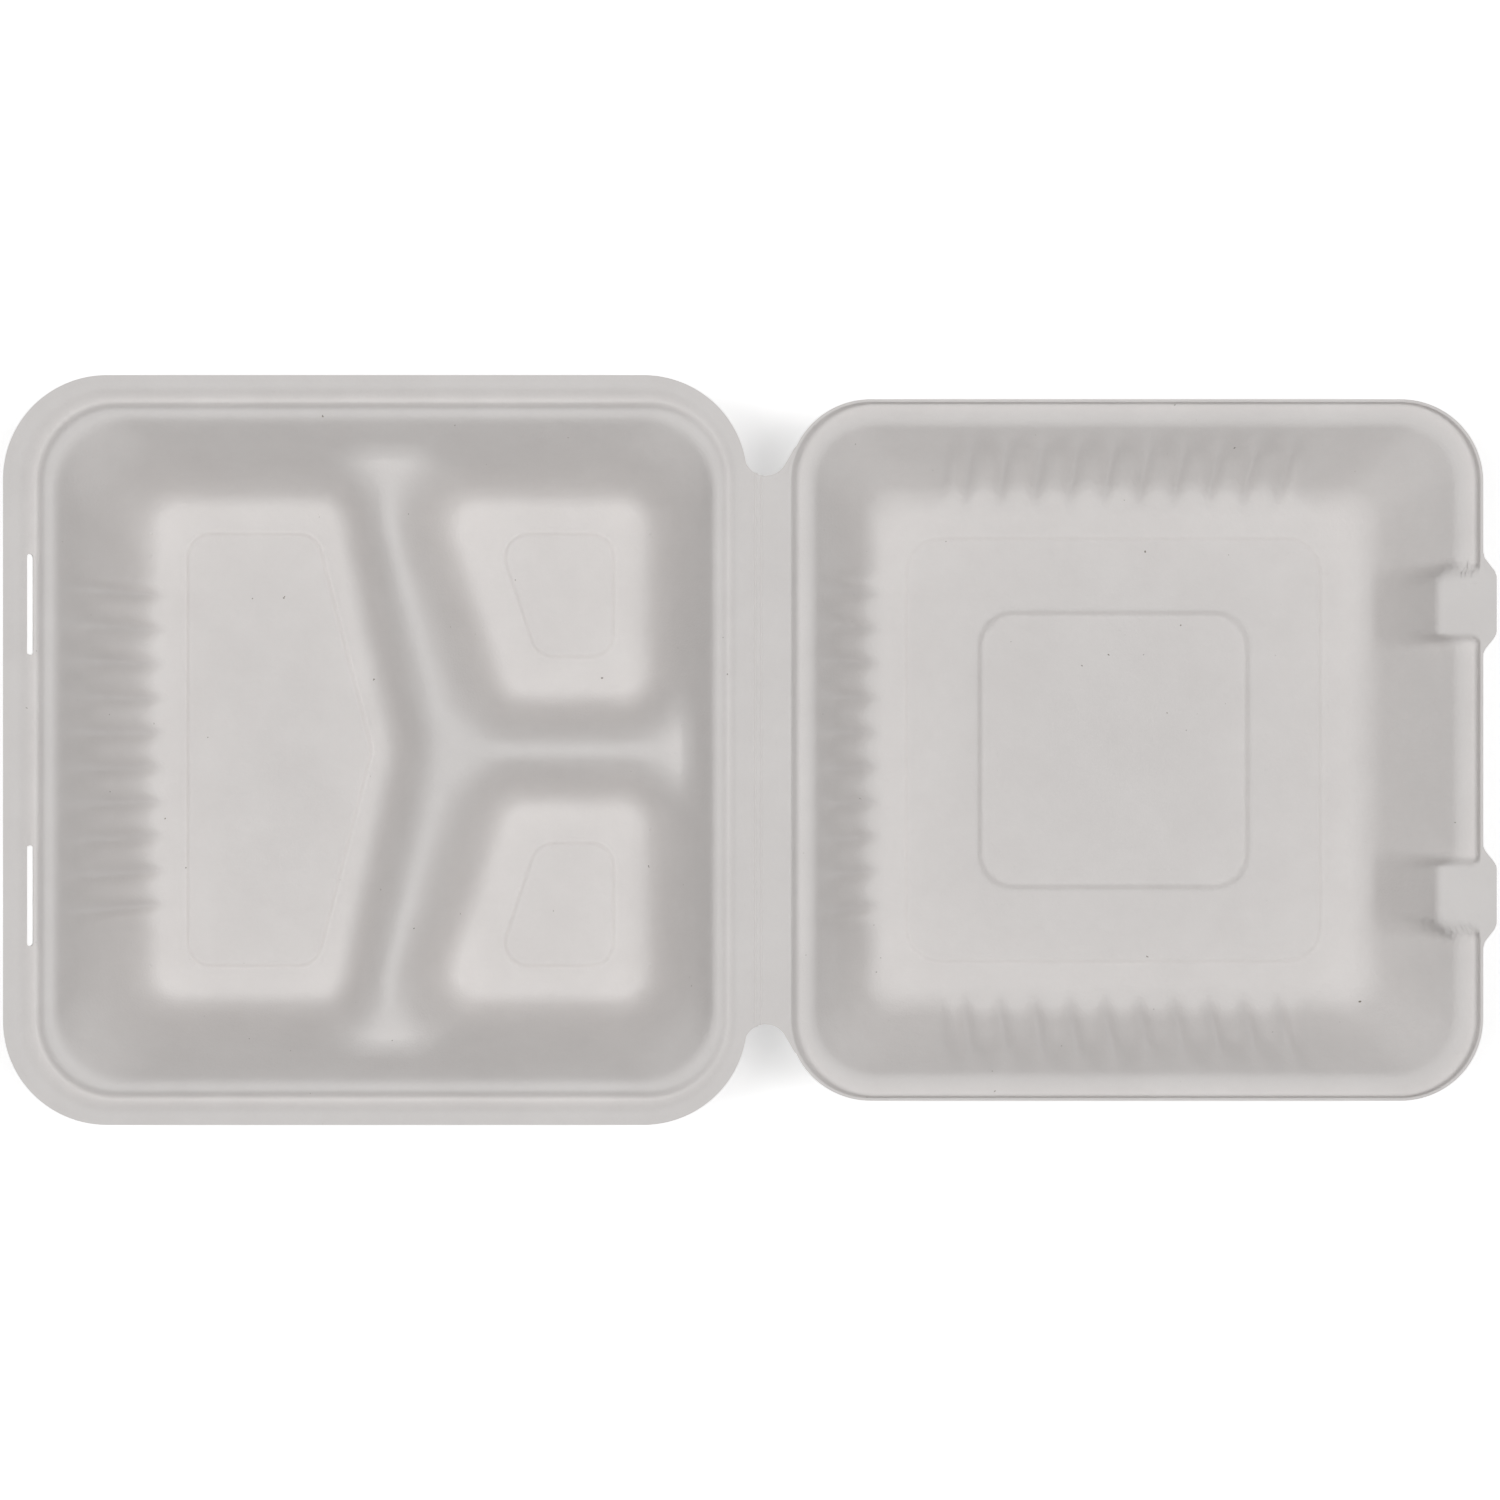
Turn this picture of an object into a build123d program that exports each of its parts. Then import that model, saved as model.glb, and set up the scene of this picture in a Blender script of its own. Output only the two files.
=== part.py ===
"""Hinged meal box moulded from sugar-cane pulp, lying open: a tray with three compartments and its lid.

The box is one sheet of pulp. The fold line runs along Y, the tray lies on its -X side and the lid
on its +X side, and +Z points up out of the open hollows. Each half is made as the sheet is made on
its mould: the hollow that the sheet surrounds is built twice, once to the inner face and once
grown by the sheet, and the wall is what lies between the two.
"""
import os
from math import atan, cos, degrees, radians, sin, tan

from build123d import *

os.makedirs("parts", exist_ok=True)

# The sheet
sheet = 0.9

# Tray, seen from above
tray_reach = 229.6          # fold line to front edge
tray_width = 228.0          # along the fold
tray_corner = 31.5
tray_edge = 3.3             # fold line to the tray's own edge
tray_height = 45.0          # underside to rim
tray_wall_run = 5.8         # how far the upper wall leans in, from rim to divider level
tray_wall_corner = 21.0     # corner radius at the top of the wall
floor_round = 8.0           # bend between wall and floor, both halves

# Tray rim, measured inwards from the edge (front and sides) or from the fold line
front_rim = 15.7
side_rim = 13.0
fold_rim = 13.7
groove_outer_front = 4.0
groove_inner_front = 11.4
groove_outer_side = 3.6
groove_inner_side = 9.4
groove_outer_fold = 6.2
groove_inner_fold = 10.8
groove_depth = 2.0
groove_draft = 38.0

# Compartments of the tray, parted by a Y-shaped divider that is measured along its top
divider_drop = 17.0         # top of the divider below the rim
divider_place = 0.445       # fold line to the divider's point, as a share of tray_reach
divider_gap = 13.8          # divider's point to the meeting of the small compartments' slanting sides
divider_arm = 6.2           # width of the arm between the small compartments
divider_crown = 0.115       # rounding along its top, as a share of divider_gap
main_lean = 12.2            # lean of the main compartment's two slanting sides, degrees
small_lean = 18.5           # and of the small compartments' slanting sides
compartment_ledge = 1.1     # soft step between the upper wall and a compartment
compartment_draft = 26.5
compartment_corner = 7.0    # at the floor

# Raised floor panels of the tray
panel_step = 0.7
panel_margin = 0.2525       # floor edge to panel, as a share of a small floor's narrow end
panel_corner = 0.154        # its corners, as a share of the same
panel_draft = 35.0

# Flutes pressed into the front wall of the tray and three walls of the lid
flute_pitch = 11.0
flute_count = 9
flute_radius = 8.0
flute_depth = 2.0
flute_lift = 3.5            # foot of a flute above the floor
flute_fade = 0.72           # share of the wall's height where a flute has run out

# Lid, seen from above
lip_inset_front = 9.1       # lid lip inside the tray's front edge
lip_inset_side = 7.3        # lid lip inside the tray's side edge
lid_edge = 9.1              # fold line to the lid's lip
lip_corner = 25.0
lip_height = 3.0
lip_drop = 0.3              # tip of the lip below the fold, so that the closed lid rests on the rim
lid_height = 36.5
lid_flange = 5.8
lid_wall_run = 19.7
lid_wall_corner = 18.5
lid_floor_corner = 9.0
flange_round = 2.4
lid_panel_margin = 13.2
lid_panel_shift = 2.6       # the panels' middle, from the lid's middle towards the fold
lid_panel_step = 0.5
lid_panel_corner = 9.5
lid_panel_draft = 45.0
lid_recess_size = 87.5
lid_recess_step = 1.5
lid_recess_corner = 10.0

# Closing tabs on the lid and the slots that they tuck into
tab_spacing = 88.8
tab_reach = 4.1             # tongue beyond the lip
tab_root = 30.3
tab_tip = 17.5
tab_round = 2.0             # corners of the tongue
pad_width = 20.6
pad_length = 14.0           # lip to the pad's inner end
pad_draft = 6.0
slot_length = 30.7
slot_width = 2.2
slot_inset = 7.75           # front edge to the middle of the slot

# Fold
notch_radius = 6.6
notch_offset = 2.3          # fold line to the middle of the notch, towards the lid
notch_spread = 90.1         # box's middle line to the middle of each notch
score_offset = 0.9
score_width = 0.5
score_depth = 0.25

# Places worked out from the sizes above
lip_reach = tray_reach - lip_inset_front
tab_end = lip_reach + tab_reach
fold_x = (tray_reach - tab_end) / 2
rim_plane = Plane(origin=(fold_x, 0, tray_height))
lip_width = tray_width - 2 * lip_inset_side
lid_length = lip_reach - lid_edge
lid_middle = (lip_reach + lid_edge) / 2
overlap = 5.0               # how far a cutting or joining solid runs past what it meets


def span(start: float, end: float, width: float, corner: float) -> Sketch:
    """A rounded rectangle from start to end along X, centred on the box's middle line."""
    with Locations(((start + end) / 2, 0)):
        return RectangleRounded(end - start, width, corner)


def lean(run: float, depth: float) -> float:
    """The angle of a wall that leans in by run over depth, in degrees from upright."""
    return degrees(atan(run / depth))


def skin(angle: float, grow: float) -> float:
    """The sideways shift at one level of a wall leaning by angle that grows by grow."""
    return grow / cos(radians(angle))


def foot(angle: float, grow: float) -> float:
    """The sideways shift at the foot of a leaning wall whose floor sinks by grow as well."""
    return skin(angle, grow) - grow * tan(radians(angle))


def tray_groove(grow: float) -> Part:
    """The channel that runs round the tray's rim."""
    shift = skin(groove_draft, grow)
    with BuildPart() as groove:
        with BuildSketch(rim_plane):
            span(
                groove_outer_front - tray_reach - shift,
                shift - groove_outer_fold,
                tray_width - 2 * groove_outer_side + 2 * shift,
                tray_corner - groove_outer_side + shift,
            )
            with Locations(((groove_inner_front - tray_reach - groove_inner_fold) / 2, 0)):
                RectangleRounded(
                    tray_reach - groove_inner_front - groove_inner_fold - 2 * shift,
                    tray_width - 2 * groove_inner_side - 2 * shift,
                    tray_corner - groove_inner_side - shift,
                    mode=Mode.SUBTRACT,
                )
        extrude(amount=-(groove_depth + grow), taper=groove_draft)
    return groove.part


def compartment_outlines(grow: float) -> list:
    """The floor corners of the three compartments, fold line at x = 0."""
    draft = radians(compartment_draft)
    shift = foot(compartment_draft, grow)
    growth = (tray_height - sheet - divider_drop) * tan(draft)
    inset = tray_wall_run + compartment_ledge + growth - shift
    front = front_rim - tray_reach + inset
    back = -fold_rim - inset
    side = tray_width / 2 - side_rim - inset
    bend = tan(radians(main_lean))
    slant = tan(radians(small_lean))
    point = -divider_place * tray_reach
    apex = point - (growth - shift) / cos(radians(main_lean))
    start = point + divider_gap + (growth - shift) / cos(radians(small_lean))
    arm = divider_arm / 2 + growth - shift
    shoulder = apex - side * bend
    main = [(front, -side), (front, side), (shoulder, side), (apex, 0), (shoulder, -side)]
    upper = [(back, arm), (back, side), (start - side * slant, side), (start - arm * slant, arm)]
    lower = [(x, -y) for x, y in upper]
    return [main, upper, lower]


def compartment(corners: list, grow: float) -> Part:
    """One compartment from its floor up to the top of the divider, bent softly into its floor."""
    depth = tray_height - sheet
    with BuildPart() as pocket:
        with BuildSketch(rim_plane.offset(-depth - grow)) as outline:
            with BuildLine():
                Polyline(*corners, close=True)
            make_face()
            fillet(outline.vertices(), radius=compartment_corner + foot(compartment_draft, grow))
        extrude(amount=depth - divider_drop, taper=-compartment_draft)
        floor = pocket.faces().sort_by(Axis.Z)[0]
        fillet(floor.edges(), radius=floor_round + grow)
    return pocket.part


def floor_panel(corners: list, narrow_end: float, grow: float) -> Part:
    """The slightly raised panel in the middle of one compartment's floor."""
    with BuildPart() as panel:
        with BuildSketch(rim_plane.offset(sheet - tray_height - grow)) as outline:
            with BuildLine():
                Polyline(*corners, close=True)
            make_face()
            offset(amount=-panel_margin * narrow_end - foot(panel_draft, grow), mode=Mode.REPLACE)
            fillet(outline.vertices(), radius=panel_corner * narrow_end)
        extrude(amount=panel_step, taper=panel_draft)
    return panel.part


def flute_row(
    floor_edge: Vector, along: Vector, outward: Vector, run: float, depth: float, grow: float
) -> Part:
    """A row of flutes that run up a leaning wall and fade out of it.

    The row is centred on floor_edge, where the wall would meet the floor; the wall leans outward
    by run over depth.
    """
    angle = radians(lean(run, depth))

    def axis_point(height: float, inside: float) -> Vector:
        return floor_edge + outward * (height * tan(angle) - inside / cos(angle)) + Vector(0, 0, height)

    foot_point = axis_point(flute_lift + flute_radius * sin(angle), flute_radius - flute_depth)
    fade_point = axis_point(depth * flute_fade, flute_radius + sheet)
    axis = Plane(origin=foot_point, x_dir=along, z_dir=fade_point - foot_point)
    with BuildPart(axis) as row:
        with GridLocations(flute_pitch, 0, flute_count, 1):
            Cylinder(
                flute_radius + grow,
                (fade_point - foot_point).length,
                align=(Align.CENTER, Align.CENTER, Align.MIN),
            )
    return row.part


def tray_hollow(grow: float) -> Part:
    """The tray's hollow down to the inner face of the sheet, or grown to its outer face."""
    depth = tray_height - sheet
    upper_lean = lean(tray_wall_run, divider_drop)
    top = skin(upper_lean, grow)
    main, upper, lower = compartment_outlines(0)
    narrow_end = upper[0][0] - upper[3][0]
    front_floor = main[0][0]
    front_edge = Vector(fold_x + front_floor, 0, tray_height - depth)
    front_run = front_floor - (front_rim - tray_reach)
    with BuildPart() as hollow:
        for corners in compartment_outlines(grow):
            add(compartment(corners, grow))
        with BuildSketch(rim_plane):
            span(
                front_rim - tray_reach - top,
                top - fold_rim,
                tray_width - 2 * side_rim + 2 * top,
                tray_wall_corner + top,
            )
        extrude(amount=-divider_drop - grow, taper=upper_lean)
        if not grow:
            plateau = max(hollow.faces().filter_by(Axis.Z), key=lambda face: len(face.inner_wires()))
            fillet(plateau.inner_wires().edges(), radius=divider_crown * divider_gap)
        for corners in (main, upper, lower):
            add(floor_panel(corners, narrow_end, grow), mode=Mode.SUBTRACT)
        add(flute_row(front_edge, Vector(0, 1, 0), Vector(-1, 0, 0), front_run, depth, grow))
    return hollow.part


def fold_strip(start: float, end: float) -> Part:
    """One side of the flat strip at the fold, notched at both ends and scored along the fold."""
    with BuildPart() as strip:
        with BuildSketch(rim_plane):
            with Locations(((start + end) / 2, 0)):
                Rectangle(end - start, 2 * notch_spread)
            with Locations((notch_offset, notch_spread), (notch_offset, -notch_spread)):
                Circle(notch_radius, mode=Mode.SUBTRACT)
        extrude(amount=-sheet)
    return strip.part


def score_line(place: float) -> Part:
    """The shallow line pressed beside the fold."""
    with BuildPart() as line:
        with BuildSketch(rim_plane):
            with Locations((place, 0)):
                Rectangle(score_width, 2 * notch_spread)
        extrude(amount=-score_depth)
    return line.part


def lip_well(grow: float) -> Part:
    """The shallow well inside the lid's upright lip, down to the flange."""
    inset = sheet - grow
    with BuildPart() as well:
        with BuildSketch(rim_plane.offset(-lip_drop)):
            span(
                lid_edge + inset,
                lip_reach - inset,
                lip_width - 2 * inset,
                lip_corner - inset,
            )
        extrude(amount=-lip_height - grow)
    return well.part


def tab_pad(grow: float) -> Part:
    """The two blocks under the closing tabs, which stand up out of the lid's wall."""
    shrink = foot(pad_draft, grow)
    start = lip_reach - pad_length + shrink
    end = lip_reach + overlap
    with BuildPart() as pad:
        with BuildSketch(rim_plane.offset(-lip_drop - grow)):
            with Locations(((start + end) / 2, 0)):
                with GridLocations(0, tab_spacing, 1, 2):
                    Rectangle(end - start, pad_width - 2 * shrink)
        extrude(amount=-lid_height, taper=-pad_draft)
    return pad.part


def lid_panel(size_x: float, size_y: float, corner: float, level: float, step: float) -> Part:
    """A flat panel of the lid's floor, raised by step, or sunk where step is negative."""
    with BuildPart() as panel:
        with BuildSketch(rim_plane.offset(-level)):
            with Locations((lid_middle - lid_panel_shift, 0)):
                RectangleRounded(size_x, size_y, corner)
        extrude(amount=step, taper=lid_panel_draft)
    return panel.part


def lid_hollow(grow: float) -> Part:
    """The lid's hollow down to the inner face of the sheet, or grown to its outer face."""
    flange_level = lip_drop + lip_height
    depth = lid_height - sheet
    wall_depth = depth - flange_level
    angle = lean(lid_wall_run, wall_depth)
    shift = foot(angle, grow)
    rim_inset = sheet + lid_flange - shift
    floor_inset = rim_inset + lid_wall_run
    panel_shift = foot(lid_panel_draft, grow)
    panel_x = lid_length - 2 * (sheet + lid_flange + lid_wall_run + lid_panel_margin + panel_shift)
    panel_y = lip_width - 2 * (sheet + lid_flange + lid_wall_run + lid_panel_margin + panel_shift)
    recess = lid_recess_size + 2 * panel_shift
    wall_foot = sheet + lid_flange + lid_wall_run
    floor_level = tray_height - depth
    fold_edge = Vector(fold_x + lid_edge + wall_foot, 0, floor_level)
    with BuildPart() as hollow:
        with BuildSketch(rim_plane.offset(-flange_level - grow)):
            span(
                lid_edge + rim_inset,
                lip_reach - rim_inset,
                lip_width - 2 * rim_inset,
                lid_wall_corner + shift,
            )
        with BuildSketch(rim_plane.offset(-depth - grow)):
            span(
                lid_edge + floor_inset,
                lip_reach - floor_inset,
                lip_width - 2 * floor_inset,
                lid_floor_corner + shift,
            )
        loft(ruled=True)
        floor = hollow.faces().sort_by(Axis.Z)[0]
        fillet(floor.edges(), radius=floor_round + grow)
        add(lip_well(grow))
        flange = hollow.faces().filter_by(Axis.Z).sort_by(Axis.Z)[1]
        fillet(flange.inner_wires().edges(), radius=flange_round - grow)
        add(lid_panel(panel_x, panel_y, lid_panel_corner, depth + grow, lid_panel_step), mode=Mode.SUBTRACT)
        add(lid_panel(recess, recess, lid_recess_corner, depth + grow - lid_panel_step, -lid_recess_step))
        add(flute_row(fold_edge, Vector(0, 1, 0), Vector(-1, 0, 0), lid_wall_run, wall_depth, grow))
        for side in (1, -1):
            side_edge = Vector(fold_x + lid_middle, side * (lip_width / 2 - wall_foot), floor_level)
            add(flute_row(side_edge, Vector(1, 0, 0), Vector(0, side, 0), lid_wall_run, wall_depth, grow))
        add(tab_pad(grow), mode=Mode.SUBTRACT)
    return hollow.part


with BuildPart() as tray:
    with BuildSketch(rim_plane):
        span(-tray_reach, -tray_edge, tray_width, tray_corner)
    extrude(amount=-sheet)
    add(fold_strip(-tray_corner, 0))
    add(tray_groove(sheet))
    add(tray_hollow(sheet))
    add(tray_groove(0), mode=Mode.SUBTRACT)
    add(tray_hollow(0), mode=Mode.SUBTRACT)
    with BuildSketch(rim_plane):
        with Locations((slot_inset - tray_reach, 0)):
            with GridLocations(0, tab_spacing, 1, 2):
                SlotOverall(slot_length, slot_width, rotation=90)
    extrude(amount=-groove_depth - overlap, mode=Mode.SUBTRACT)
    add(score_line(-score_offset), mode=Mode.SUBTRACT)

tray.part.label = "base_tray"
export_step(tray.part, "parts/base_tray.step")

with BuildPart() as lid:
    add(lid_hollow(sheet))
    add(fold_strip(0, lid_edge + sheet))
    with BuildSketch(rim_plane.offset(-lip_drop)) as tongues:
        with Locations((lip_reach, 0)):
            with GridLocations(0, tab_spacing, 1, 2):
                Polygon(
                    (-sheet, tab_root / 2),
                    (-sheet, -tab_root / 2),
                    (0, -tab_root / 2),
                    (tab_reach, -tab_tip / 2),
                    (tab_reach, tab_tip / 2),
                    (0, tab_root / 2),
                    align=None,
                )
        fillet(tongues.vertices().group_by(Axis.X)[-1], radius=tab_round)
    extrude(amount=-sheet)
    add(lid_hollow(0), mode=Mode.SUBTRACT)
    add(score_line(score_offset), mode=Mode.SUBTRACT)

lid.part.label = "lid"
export_step(lid.part, "parts/lid.step")
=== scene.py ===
"""Dresses the open moulded pulp meal box: its tray, its lid and the scored fold between them."""

import logging
import math
from dataclasses import dataclass, field
from enum import Enum

import bmesh
import bpy
import numpy as np
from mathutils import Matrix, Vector


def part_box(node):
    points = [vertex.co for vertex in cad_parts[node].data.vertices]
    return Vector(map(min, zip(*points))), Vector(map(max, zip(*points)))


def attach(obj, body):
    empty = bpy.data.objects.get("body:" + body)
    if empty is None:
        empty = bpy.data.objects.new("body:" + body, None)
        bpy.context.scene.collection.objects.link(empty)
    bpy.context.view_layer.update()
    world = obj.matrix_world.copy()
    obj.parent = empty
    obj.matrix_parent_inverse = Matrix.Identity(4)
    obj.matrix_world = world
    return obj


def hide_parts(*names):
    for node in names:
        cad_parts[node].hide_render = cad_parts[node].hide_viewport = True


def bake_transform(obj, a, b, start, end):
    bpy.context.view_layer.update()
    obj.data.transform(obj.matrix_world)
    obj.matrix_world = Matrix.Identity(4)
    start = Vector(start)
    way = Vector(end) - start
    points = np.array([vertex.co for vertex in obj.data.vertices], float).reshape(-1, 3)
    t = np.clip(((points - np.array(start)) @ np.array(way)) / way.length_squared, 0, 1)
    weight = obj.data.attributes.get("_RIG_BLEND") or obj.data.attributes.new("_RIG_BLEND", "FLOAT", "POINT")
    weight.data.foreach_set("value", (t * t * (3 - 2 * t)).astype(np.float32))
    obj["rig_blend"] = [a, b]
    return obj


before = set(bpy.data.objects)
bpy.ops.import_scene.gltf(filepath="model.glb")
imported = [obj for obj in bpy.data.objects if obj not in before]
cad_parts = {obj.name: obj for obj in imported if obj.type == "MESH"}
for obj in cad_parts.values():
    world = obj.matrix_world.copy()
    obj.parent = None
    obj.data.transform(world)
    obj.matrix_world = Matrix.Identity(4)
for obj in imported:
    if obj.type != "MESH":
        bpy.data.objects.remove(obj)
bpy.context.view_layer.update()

log = logging.getLogger("meal_box")

MM = 0.001

# The sheet and the fold, in millimetres like every size below
SHEET = 0.9
WEB_HALF = 1.5
STRIP_DROP = 0.06
NOTCH_RADIUS = 6.6
NOTCH_OFFSET = 2.3
NOTCH_SPREAD = 90.1
NOTCH_SPLAY = math.radians(30.0)
FLUTE_PITCH = 11.0
FLUTE_RADIUS = 7.4
FLUTE_DEPTH = 3.1
FLUTE_SOFTEN = (-1.0, -0.5, 0.0, 0.5, 1.0)
FLUTE_REACH = 5.3 * FLUTE_PITCH
FLUTE_END = 0.6 * FLUTE_PITCH
TAB_OFFSET = 44.4

# How a half's edge is carried on to the fold: steps of reach and levelling, and finer cells at the notches
STRIP_STEPS = ((0.12, 0.75), (0.5, 1.0), (1.0, 1.0))
STRIP_LEAST = 0.2
STRIP_MARGIN = 3.0
STRIP_END = 12.0
STRIP_END_CUTS = 7

# Longest share of a side of a cross-section that the bend at one end may take
BEND_SHARE = 0.48

# Around a slot: how far its cuts run on, the lowest level that still belongs to the rim, and a hair's width
SLOT_MARGIN = 2.5
RIM_LOW = -5.0
TOUCH = 0.001


class Body(Enum):
    """The moving bodies of the frame."""

    TRAY = "tray_body"
    LID = "lid_body"


class Node(Enum):
    """The solids that the dressed pieces stand for."""

    TRAY = "base_tray"
    LID = "lid"


class Wall(Enum):
    """The four walls of one half of the box."""

    FRONT = 0
    FOLD = 1
    LEFT = 2
    RIGHT = 3


def smooth_max(a: np.ndarray, b: np.ndarray, width: float | np.ndarray) -> np.ndarray:
    """The larger of two heights, rounded where they meet.

    Args:
        a: First height.
        b: Second height.
        width: Difference in height over which the two are blended.

    Returns:
        The blended height.
    """
    near = np.maximum(width - np.abs(a - b), 0.0)
    return np.maximum(a, b) + near * near / (4.0 * width)


def smooth_min(a: np.ndarray, b: np.ndarray, width: float | np.ndarray) -> np.ndarray:
    """The smaller of two heights, rounded where they meet, as smooth_max does.

    Args:
        a: First height.
        b: Second height.
        width: Difference in height over which the two are blended.

    Returns:
        The blended height.
    """
    return -smooth_max(-a, -b, width)


def ramp(value: np.ndarray, start: float, end: float) -> np.ndarray:
    """A soft step from 0 at start to 1 at end.

    Args:
        value: Where the step is read.
        start: Where it begins.
        end: Where it is complete; it may be less than start.

    Returns:
        The step's height at each value.
    """
    share = np.clip((value - start) / (end - start), 0.0, 1.0)
    return share * share * (3.0 - 2.0 * share)


def flute_press(along: np.ndarray, crest_share: float) -> np.ndarray:
    """How far a row of flutes is pressed outwards: nine round hollows with soft crests between them.

    Args:
        along: Distance from the row's middle.
        crest_share: How far the crests stand inside the plain wall, as a share of the depth.

    Returns:
        A share of the flutes' depth, below 0 at the crests.
    """
    crest = math.sqrt(FLUTE_RADIUS**2 - FLUTE_PITCH**2 / 4)
    hollow = np.zeros(along.shape)
    for step in FLUTE_SOFTEN:
        off_middle = along + step - FLUTE_PITCH * np.round((along + step) / FLUTE_PITCH)
        hollow += (np.sqrt(FLUTE_RADIUS**2 - off_middle**2) - crest) / (FLUTE_RADIUS - crest)
    row_end = ramp(np.abs(along), FLUTE_REACH, FLUTE_REACH - FLUTE_END)
    return (hollow / len(FLUTE_SOFTEN) - crest_share) * row_end


def notch_edge(along: np.ndarray, towards: float) -> np.ndarray:
    """The notch's edge at one end of the fold, as a distance from the fold line.

    Args:
        along: Distance from the box's middle line.
        towards: 1 on the lid's side of the fold, -1 on the tray's.

    Returns:
        The distance from the fold line at which the sheet ends.
    """
    up = np.abs(along) - NOTCH_SPREAD
    leave = -NOTCH_RADIUS * math.sin(NOTCH_SPLAY)
    across = NOTCH_RADIUS**2 - np.minimum(up, leave) ** 2
    round_edge = np.sqrt(np.maximum(across, 0.0)) + towards * NOTCH_OFFSET
    splayed = round_edge + np.maximum(up - leave, 0.0) * math.tan(NOTCH_SPLAY)
    return np.where(across > 0.0, np.maximum(splayed, WEB_HALF), WEB_HALF)


@dataclass(frozen=True)
class Station:
    """One corner of a half's cross-section, read from the edge inwards.

    It lies front, side and fold inside the half's outline, has corners of radius corner there, and
    comes after so many rings of cells. Its own bend is rounded over bend on both sides.
    """

    front: float
    side: float
    fold: float
    corner: float
    z: float
    rings: int
    bend: float = 0.0
    bend_rings: int = 0

    def row(self) -> np.ndarray:
        """The station as a row of numbers.

        Returns:
            Its insets, corner radius and height.
        """
        return np.array([self.front, self.side, self.fold, self.corner, self.z])


def section_rings(stations: list[Station]) -> np.ndarray:
    """Walks a cross-section and rounds each of its corners.

    Args:
        stations: Its corners, from the edge to the middle of the half.

    Returns:
        One row per ring: insets at front, side and fold, corner radius and height.
    """
    rows = [stations[0].row()]
    for i, here in enumerate(stations[1:], start=1):
        corner = here.row()
        before = stations[i - 1].row() - corner
        if here.bend and i + 1 < len(stations):
            after = stations[i + 1].row() - corner
            first = corner + before * min(BEND_SHARE, here.bend / np.hypot(before[1], before[4]))
            last = corner + after * min(BEND_SHARE, here.bend / np.hypot(after[1], after[4]))
        else:
            first = last = corner
        start = rows[-1]
        rows += [start + (first - start) * n / here.rings for n in range(1, here.rings + 1)]
        for n in range(1, here.bend_rings + 1):
            t = n / here.bend_rings
            rows.append(first * (1 - t) ** 2 + corner * 2 * t * (1 - t) + last * t * t)
    return np.array(rows)


@dataclass
class RingSheet:
    """A square grid whose rings of cells are laid along rounded rectangles, one inside the other."""

    near: float
    far: float
    half_width: float
    rings: np.ndarray
    gather: float = 0.045
    gather_from: float = 0.16
    gather_over: float = 0.46

    def build(self) -> bmesh.types.BMesh:
        """Makes the grid, with one ring of cells between each two rows of the cross-section.

        Returns:
            The flat grid, with its cell numbers as places.
        """
        bm = bmesh.new()
        count = len(self.rings) - 1
        bmesh.ops.create_grid(bm, x_segments=2 * count, y_segments=2 * count, size=count)
        return bm

    def lay(self, bm: bmesh.types.BMesh) -> tuple[np.ndarray, np.ndarray, np.ndarray]:
        """Works out where each corner of the grid goes.

        Args:
            bm: The grid that build made.

        Returns:
            The places, the ring of each corner counted from the edge, and the wall it belongs to.
        """
        cells = np.rint(np.array([v.co for v in bm.verts])[:, :2]).astype(int)
        i, j = cells[:, 0], cells[:, 1]
        count = len(self.rings) - 1
        turn = np.maximum(np.abs(i), np.abs(j))
        ring = count - turn
        row = self.rings[ring]
        across = np.abs(i) >= np.abs(j)
        wall = np.where(
            across,
            np.where(i > 0, Wall.FRONT.value, Wall.FOLD.value),
            np.where(j > 0, Wall.LEFT.value, Wall.RIGHT.value),
        )
        share = np.where(across, j, i) / np.maximum(turn, 1)
        share = np.where(wall == Wall.FRONT.value, self.spread(share), share)
        x_low = self.near + row[:, 2]
        x_high = self.far - row[:, 0]
        half_x = (x_high - x_low) / 2
        half_y = self.half_width - row[:, 1]
        radius = np.minimum(row[:, 3], np.minimum(half_x, half_y))
        half_side = np.where(across, half_y, half_x)
        half_other = np.where(across, half_x, half_y)
        straight = half_side - radius
        walk = np.abs(share) * (straight + radius * math.pi / 4)
        angle = np.maximum(walk - straight, 0.0) / np.maximum(radius, 1e-6)
        along = np.sign(share) * (np.minimum(walk, straight) + radius * np.sin(angle))
        out = half_other - radius * (1 - np.cos(angle))
        sign = np.where(across, np.sign(i), np.sign(j))
        x = (x_low + x_high) / 2 + np.where(across, sign * out, along)
        y = np.where(across, along, sign * out)
        return np.stack([x, y, row[:, 4]], axis=1), ring, wall

    def spread(self, share: np.ndarray) -> np.ndarray:
        """Gathers the front's columns round the tabs or slots, which need the finest cells.

        Args:
            share: A column's even place along the front, from -1 to 1.

        Returns:
            Its place after gathering.
        """
        at = np.abs(share)
        turn = np.clip((at - self.gather_from) / self.gather_over, 0.0, 1.0)
        pull = self.gather * np.sin(2 * np.pi * turn)
        return np.sign(share) * (at + pull)


def place(bm: bmesh.types.BMesh, points: np.ndarray) -> None:
    """Moves every vertex of a mesh to its row of points.

    Args:
        bm: The mesh.
        points: One place for each vertex, in order.
    """
    for vert, point in zip(bm.verts, points):
        vert.co = point


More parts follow.
